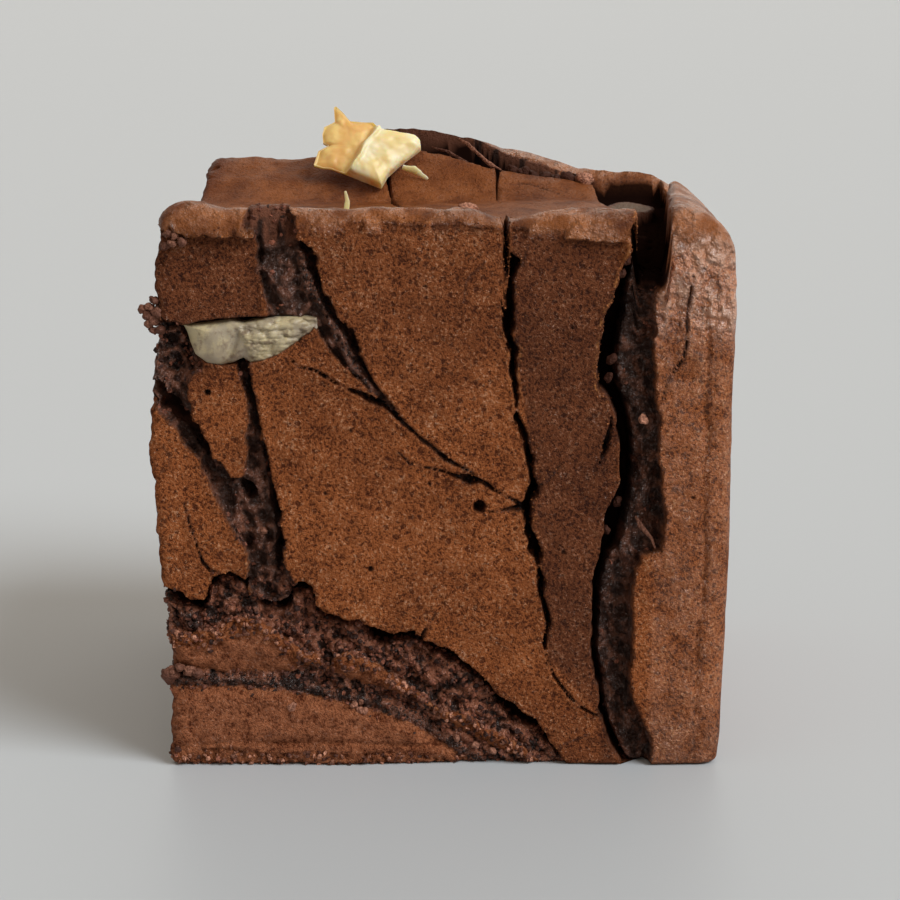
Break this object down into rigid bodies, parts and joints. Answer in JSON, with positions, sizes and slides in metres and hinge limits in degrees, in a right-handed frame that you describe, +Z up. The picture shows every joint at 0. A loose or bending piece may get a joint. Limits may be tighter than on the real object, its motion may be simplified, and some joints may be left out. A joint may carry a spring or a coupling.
{
  "type": "brownie",
  "caption": "Cube of chocolate brownie with a cracked crust, nut baked into its front and a shard of nut on top.",
  "frame": {"origin": "middle of the flat underside, on the surface the brownie stands on", "axes": "+Z up through the crust, -Y out of the cracked face that was baked against the pan, +X to the right of that face"},
  "size_m": [0.0593, 0.0565, 0.0632],
  "materials": {
    "cake": "porous baked chocolate crust, satin on the rounded edges, dark and moist in the cracks",
    "baked_nut": "toasted, mottled grey-cream",
    "fresh_nut": "waxy, pale yellow, glowing orange where thin"
  },
  "bodies": {
    "root": {"brownie": "cake", "nut_chunk": "baked_nut", "nut_shard": "fresh_nut"}
  },
  "joints": []
}
